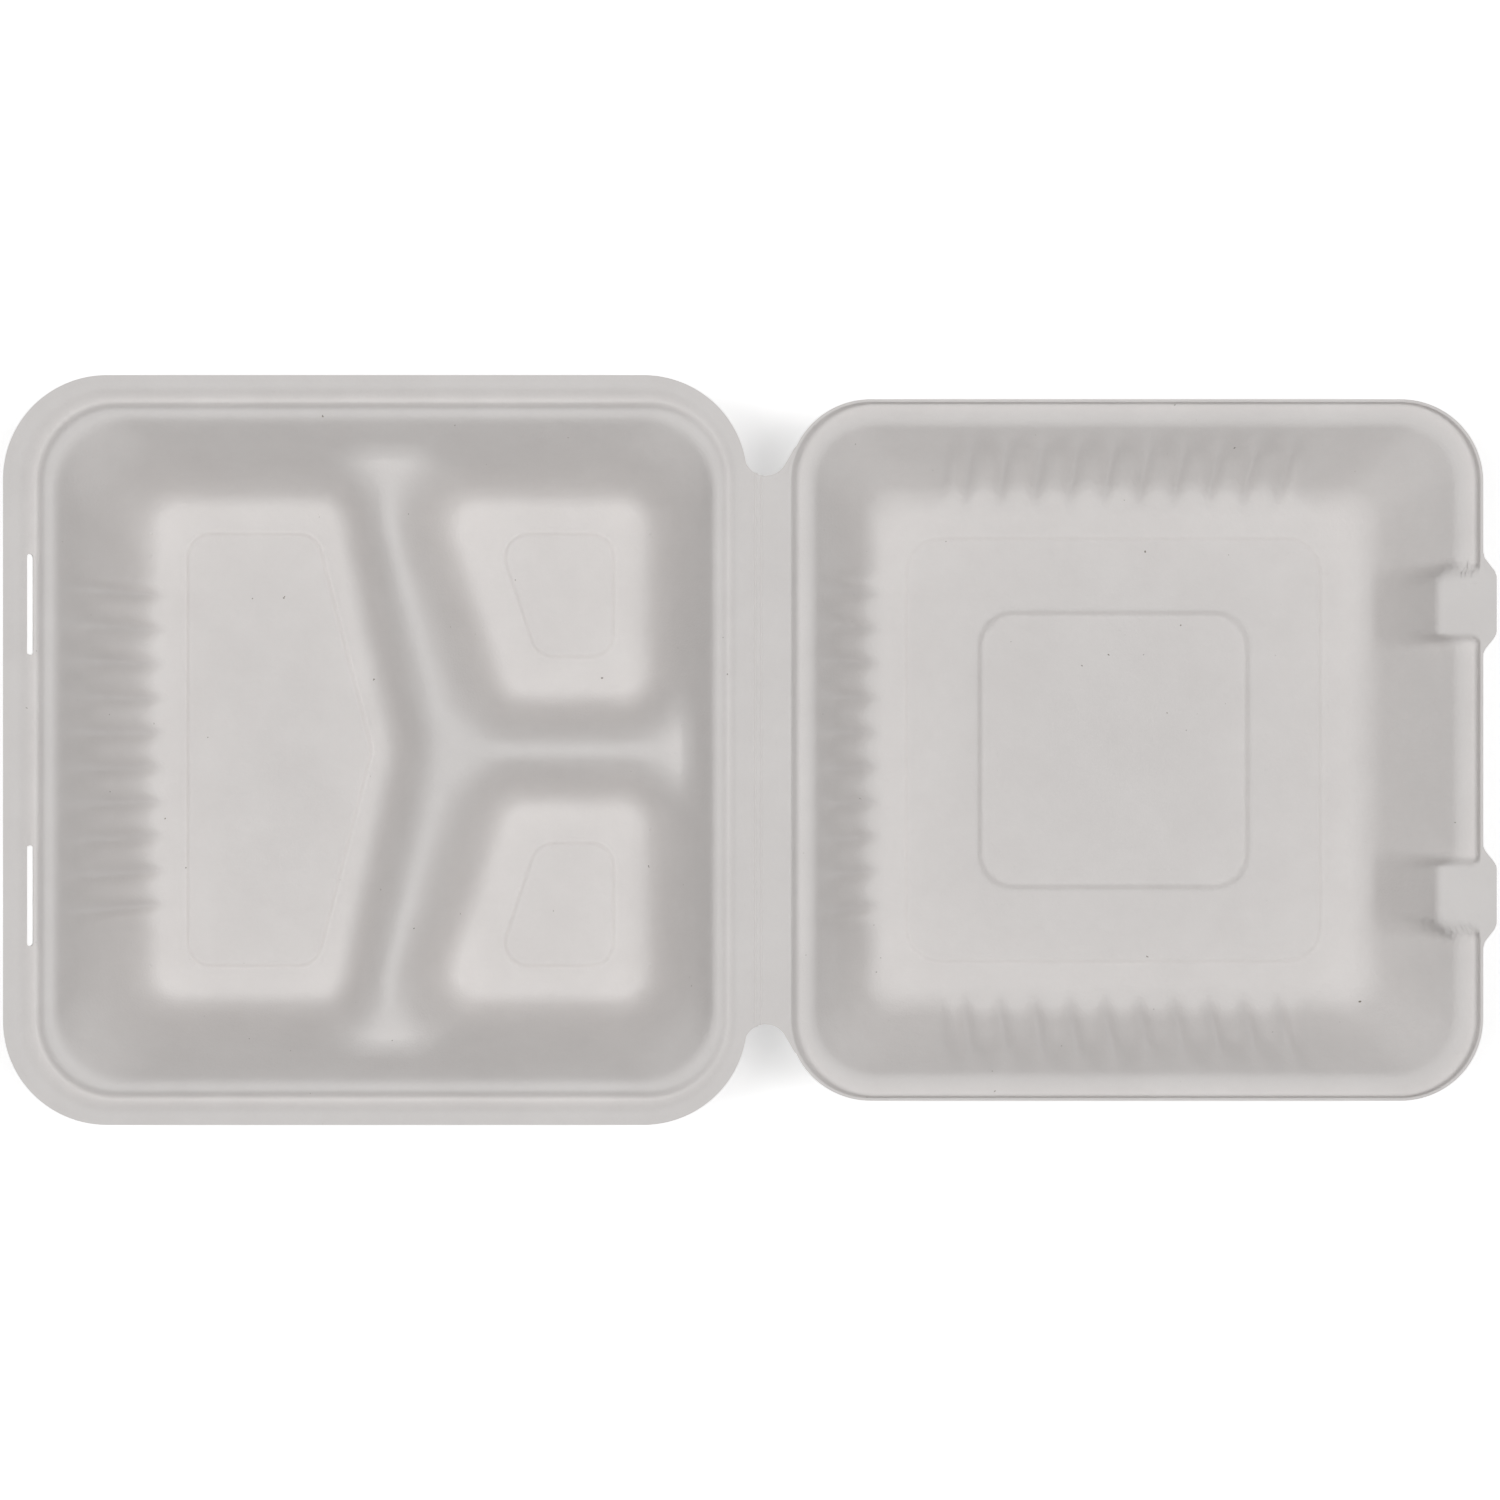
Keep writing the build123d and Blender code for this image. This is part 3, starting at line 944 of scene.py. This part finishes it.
@dataclass
class Lid:
    """The lid: upright lip, flange, fluted walls, stepped floor and two closing tabs."""

    reach: float = 220.5
    half_width: float = 106.7
    edge: float = 9.1
    tab_reach: float = 4.1
    tab_root: float = 30.3
    tab_tip: float = 17.5
    pad_half: float = 10.3
    pad_end: float = 13.6
    pad_foot_z: float = -30.5
    pad_blend: float = 1.5
    pad_foot_blend: float = 4.0
    pad_ease: float = 1.2
    pad_ease_share: float = 0.15
    tongue_ease: float = 0.4
    lip_z: float = -0.3
    lip_wall: float = 0.9
    wall_top: float = 6.9
    wall_foot: float = 26.6
    floor_z: float = -35.6
    panel: tuple[float, float, float] = (42.6, 39.7, 37.6)
    panel_step: float = 0.8
    recess: tuple[float, float, float] = (64.8, 62.5, 60.2)
    recess_step: float = 2.0
    crest_share: float = 0.3
    flute_foot: tuple[float, float] = (-5.0, 0.0)
    flute_top: tuple[float, float] = (0.95, 0.35)
    flute_over: float = 6.0
    flute_least: float = 0.1

    def section(self) -> list[Station]:
        """The lid's cross-section from the lip to the middle of its floor.

        Returns:
            Its corners, from the edge to the middle.
        """
        middle = (self.reach - self.edge) / 2
        foot = self.wall_foot
        raised = self.floor_z + self.panel_step
        sunk = raised - self.recess_step
        return [
            Station(0.0, 0.0, 0.0, 25.0, self.lip_z, 1),
            Station(self.lip_wall, self.lip_wall, self.lip_wall, 24.1, self.lip_z, 2, 0.3, 2),
            Station(1.1, 1.1, 2.9, 24.0, -3.3, 2, 1.1, 4),
            Station(self.wall_top, self.wall_top, self.wall_top + 0.8, 18.6, -3.4, 4, 2.6, 6),
            Station(15.4, 15.0, 15.8, 15.0, -15.6, 5, 4.0, 5),
            Station(foot + 1.8, foot + 0.8, foot, 10.5, self.floor_z, 8, 8.0, 10),
            Station(*(inset - 0.4 for inset in self.panel), 11.0, self.floor_z - 0.15, 4, 0.6, 3),
            Station(*(inset + 0.9 for inset in self.panel), 10.2, raised, 1, 0.6, 3),
            Station(*self.recess, 11.0, raised, 5, 0.8, 3),
            Station(*(inset + 1.7 for inset in self.recess), 10.0, sunk - 0.1, 1, 0.8, 3),
            Station(middle, self.half_width, middle, 0.0, sunk, 10),
        ]

    def build(self, material: bpy.types.Material, fold: Vector) -> bpy.types.Object:
        """Models the lid.

        Args:
            material: The pulp finish.
            fold: The middle of the fold line, in the row frame.

        Returns:
            The finished lid.
        """
        sheet = RingSheet(self.edge, self.reach, self.half_width, section_rings(self.section()))
        bm = sheet.build()
        points, ring, wall = sheet.lay(bm)
        place(bm, self.with_tabs(sheet, points, ring, wall))
        refine(bm, self.fluted(bm))
        self.press_flutes(bm)
        grow_strip(bm, 1.0, self.edge + STRIP_MARGIN)
        for vert in bm.verts:
            vert.co = fold + vert.co * MM
        piece = finish_piece("lid_shell", bm, material)
        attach(piece, Body.LID.value)
        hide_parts(Node.LID.value)
        return piece

    def with_tabs(
        self, sheet: RingSheet, points: np.ndarray, ring: np.ndarray, wall: np.ndarray
    ) -> np.ndarray:
        """Draws the front edge out into two tongues and fills a flat pad behind each.

        Args:
            sheet: The grid and its cross-section.
            points: Where its corners lie without the tabs.
            ring: The ring of each corner.
            wall: The wall of each corner.

        Returns:
            Where the corners lie with the tabs.
        """
        rows = sheet.rings
        legs = np.hypot(np.diff(rows[:, 0]), np.diff(rows[:, 4]))
        travel = np.concatenate([[0.0], np.cumsum(legs)])
        lip_ring = int(np.argmax(rows[:, 0] > 0.5))
        foot_ring = int(np.argmax(rows[:, 4] < self.pad_foot_z))
        foot = rows[foot_ring, 0] - self.pad_end
        corner = self.pad_end - self.lip_wall
        drop = math.hypot(foot, self.pad_foot_z - self.lip_z)
        share = np.clip((travel - travel[lip_ring]) / (travel[foot_ring] - travel[lip_ring]), 0.0, 1.0)
        walk = share * (corner + drop)
        down = np.clip((walk - corner) / drop, 0.0, 1.0)
        soft = np.clip((walk - corner + self.pad_ease) / (drop + self.pad_ease), 0.0, 1.0)
        pad_inset = np.minimum(self.lip_wall + walk, self.pad_end) + down * foot
        eased = down + self.pad_ease_share * (soft - down)
        pad_z = self.lip_z + eased * (self.pad_foot_z - self.lip_z)
        out = points.copy()
        front = (wall == Wall.FRONT.value) & (ring <= foot_ring)
        for middle in (-TAB_OFFSET, TAB_OFFSET):
            away = np.abs(points[:, 1] - middle)
            blend = self.pad_blend + self.pad_foot_blend * down[np.minimum(ring, foot_ring)]
            on_pad = front * ramp(away, self.pad_half + blend, self.pad_half - blend)
            on_pad = np.where(ring >= lip_ring, on_pad, 0.0)
            out[:, 0] += on_pad * (self.reach - pad_inset[ring] - points[:, 0])
            out[:, 2] += on_pad * (pad_z[ring] - points[:, 2])
            root = self.tab_root / 2 + self.tongue_ease
            tip = self.tab_tip / 2 - self.tongue_ease
            tongue = front * ramp(away, root, tip)
            stretch = np.where(ring < lip_ring, 1.0 - ring / lip_ring, 0.0)
            out[:, 0] += tongue * stretch * self.tab_reach
        return out

    def fluted(self, bm: bmesh.types.BMesh) -> list[bmesh.types.BMFace]:
        """The wall faces that carry flutes.

        Args:
            bm: The lid before its flutes are pressed.

        Returns:
            The faces to halve.
        """
        return [
            f for f in bm.faces
            if self.flute_shift(f.calc_center_median(), False).length > self.flute_least
        ]

    def flute_shift(self, co: Vector, wave: bool) -> Vector:
        """How far a point of the wall is pressed outwards.

        Args:
            co: The point, fold line at x = 0.
            wave: Whether to follow the flutes or just their depth.

        Returns:
            The shift.
        """
        run = self.wall_foot - self.wall_top
        centre = (self.reach + self.edge) / 2
        shift = Vector()
        walls = (
            (co.x - self.edge, co.y, Vector((-1, 0, 0))),
            (self.half_width - co.y, co.x - centre, Vector((0, 1, 0))),
            (self.half_width + co.y, co.x - centre, Vector((0, -1, 0))),
        )
        for inset, along, outward in walls:
            if self.wall_top < inset < self.wall_foot + self.flute_over and abs(along) < FLUTE_REACH:
                up = np.array(self.wall_foot - inset)
                fade = float(ramp(up, *self.flute_foot) * ramp(up / run, *self.flute_top))
                pattern = float(flute_press(np.array(along), self.crest_share)) if wave else 1.0
                shift += outward * FLUTE_DEPTH * fade * pattern
        return shift

    def press_flutes(self, bm: bmesh.types.BMesh) -> None:
        """Presses the flutes into the three fluted walls.

        Args:
            bm: The lid.
        """
        for vert in bm.verts:
            vert.co += self.flute_shift(vert.co, True)


@dataclass
class FoldWeb:
    """The narrow strip of pulp at the fold, with its two pressed score lines."""

    score_offset: float = 0.9
    score_depth: float = 0.2
    score_width: float = 0.22
    columns: int = 30
    rows: int = 40

    def build(self, material: bpy.types.Material, fold: Vector) -> bpy.types.Object:
        """Models the strip and lets it bend between the two halves.

        Args:
            material: The pulp finish.
            fold: The middle of the fold line, in the row frame.

        Returns:
            The finished strip.
        """
        bm = bmesh.new()
        bmesh.ops.create_grid(bm, x_segments=self.columns, y_segments=self.rows, size=1.0)
        for vert in bm.verts:
            x = vert.co.x * WEB_HALF
            half = NOTCH_SPREAD - math.sqrt(NOTCH_RADIUS**2 - (x - NOTCH_OFFSET) ** 2)
            dip = math.exp(-(((abs(x) - self.score_offset) / self.score_width) ** 2))
            vert.co = fold + Vector((x, vert.co.y * half, -STRIP_DROP - self.score_depth * dip)) * MM
        piece = finish_piece("fold_web", bm, material)
        reach = Vector((WEB_HALF * MM, 0.0, 0.0))
        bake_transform(piece, Body.TRAY.value, Body.LID.value, fold - reach, fold + reach)
        return piece


def seen_directly(tree: bpy.types.NodeTree) -> bpy.types.NodeSocket:
    """Marks what the camera sees, straight or by way of metal or glass.

    Args:
        tree: The node tree of a material or of the world.

    Returns:
        A socket that is 1 for those rays and 0 for the rays that light the box.
    """
    path = tree.nodes.new("ShaderNodeLightPath")
    total = path.outputs["Is Camera Ray"]
    for ray in ("Is Glossy Ray", "Is Transmission Ray"):
        either = tree.nodes.new("ShaderNodeMath")
        either.operation = "MAXIMUM"
        tree.links.new(total, either.inputs[0])
        tree.links.new(path.outputs[ray], either.inputs[1])
        total = either.outputs["Value"]
    return total


@dataclass
class Studio:
    """The pale floor, the soft lamps and the camera straight above."""

    field_width: float = 0.456
    camera_lift: float = 0.895
    floor_size: float = 6.0
    floor_drop: float = 0.0005
    floor_glow: float = 0.5
    floor_color: tuple[float, float, float, float] = (0.9, 0.9, 0.9, 1.0)
    floor_roughness: float = 0.9
    white: tuple[float, float, float, float] = (1.0, 1.0, 1.0, 1.0)
    lamp_size: tuple[float, float] = (0.45, 0.6)
    lamp_power: float = 6.9
    lamp_out: float = 0.5
    lamp_height: float = 1.3
    surround: float = 0.12

    def build_floor(self) -> None:
        """Lays a white floor that keeps the box's soft shadow."""
        bm = bmesh.new()
        bmesh.ops.create_grid(bm, x_segments=1, y_segments=1, size=self.floor_size / 2)
        mesh = bpy.data.meshes.new("floor")
        bm.to_mesh(mesh)
        bm.free()
        floor = bpy.data.objects.new("floor", mesh)
        bpy.context.collection.objects.link(floor)
        material = bpy.data.materials.new("studio_floor")
        material.use_nodes = True
        nodes, links = material.node_tree.nodes, material.node_tree.links
        shader = nodes["Principled BSDF"]
        shader.inputs["Base Color"].default_value = self.floor_color
        shader.inputs["Roughness"].default_value = self.floor_roughness
        shader.inputs["Emission Color"].default_value = self.white
        level = nodes.new("ShaderNodeMath")
        level.operation = "MULTIPLY"
        level.inputs[1].default_value = self.floor_glow
        links.new(seen_directly(material.node_tree), level.inputs[0])
        links.new(level.outputs["Value"], shader.inputs["Emission Strength"])
        mesh.materials.append(material)
        floor.location.z = -self.floor_drop

    def build_light(self) -> None:
        """Stands a soft lamp at either side of the box, with an even pale surround."""
        for side in (-1, 1):
            lamp = bpy.data.lights.new("soft_box", "AREA")
            lamp.shape = "RECTANGLE"
            lamp.size, lamp.size_y = self.lamp_size
            lamp.energy = self.lamp_power
            holder = bpy.data.objects.new("soft_box", lamp)
            holder.location = (side * self.lamp_out, 0.0, self.lamp_height)
            holder.rotation_euler = (-holder.location).to_track_quat("-Z", "Y").to_euler()
            bpy.context.collection.objects.link(holder)
        world = bpy.data.worlds.new("surround")
        bpy.context.scene.world = world
        world.use_nodes = True
        nodes, links = world.node_tree.nodes, world.node_tree.links
        back = nodes["Background"]
        back.inputs["Color"].default_value = self.white
        level = nodes.new("ShaderNodeMapRange")
        level.inputs["To Min"].default_value = self.surround
        links.new(seen_directly(world.node_tree), level.inputs["Value"])
        links.new(level.outputs["Result"], back.inputs["Strength"])

    def build_camera(self, rim_height: float) -> None:
        """Sets the camera straight above the open box.

        Args:
            rim_height: Height of the rim over the floor, in metres.
        """
        data = bpy.data.cameras.new("camera")
        data.angle = 2 * math.atan(self.field_width / 2 / self.camera_lift)
        holder = bpy.data.objects.new("camera", data)
        holder.location = (0.0, 0.0, rim_height + self.camera_lift)
        bpy.context.collection.objects.link(holder)
        bpy.context.scene.camera = holder


def main() -> None:
    """Builds the box, its studio and the camera."""
    logging.basicConfig(level=logging.INFO, format="%(name)s: %(message)s")
    bpy.context.scene.view_settings.view_transform = "Standard"
    lid_low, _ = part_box(Node.LID.value)
    _, tray_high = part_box(Node.TRAY.value)
    fold = Vector((lid_low.x, 0.0, tray_high.z))
    pulp = PulpFinish().make()
    for builder in (Tray(), Lid(), FoldWeb()):
        piece = builder.build(pulp, fold)
        log.info("%s: %d faces", piece.name, len(piece.data.polygons))
    studio = Studio()
    studio.build_floor()
    studio.build_light()
    studio.build_camera(fold.z)
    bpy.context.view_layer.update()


if __name__ == "__main__":
    main()
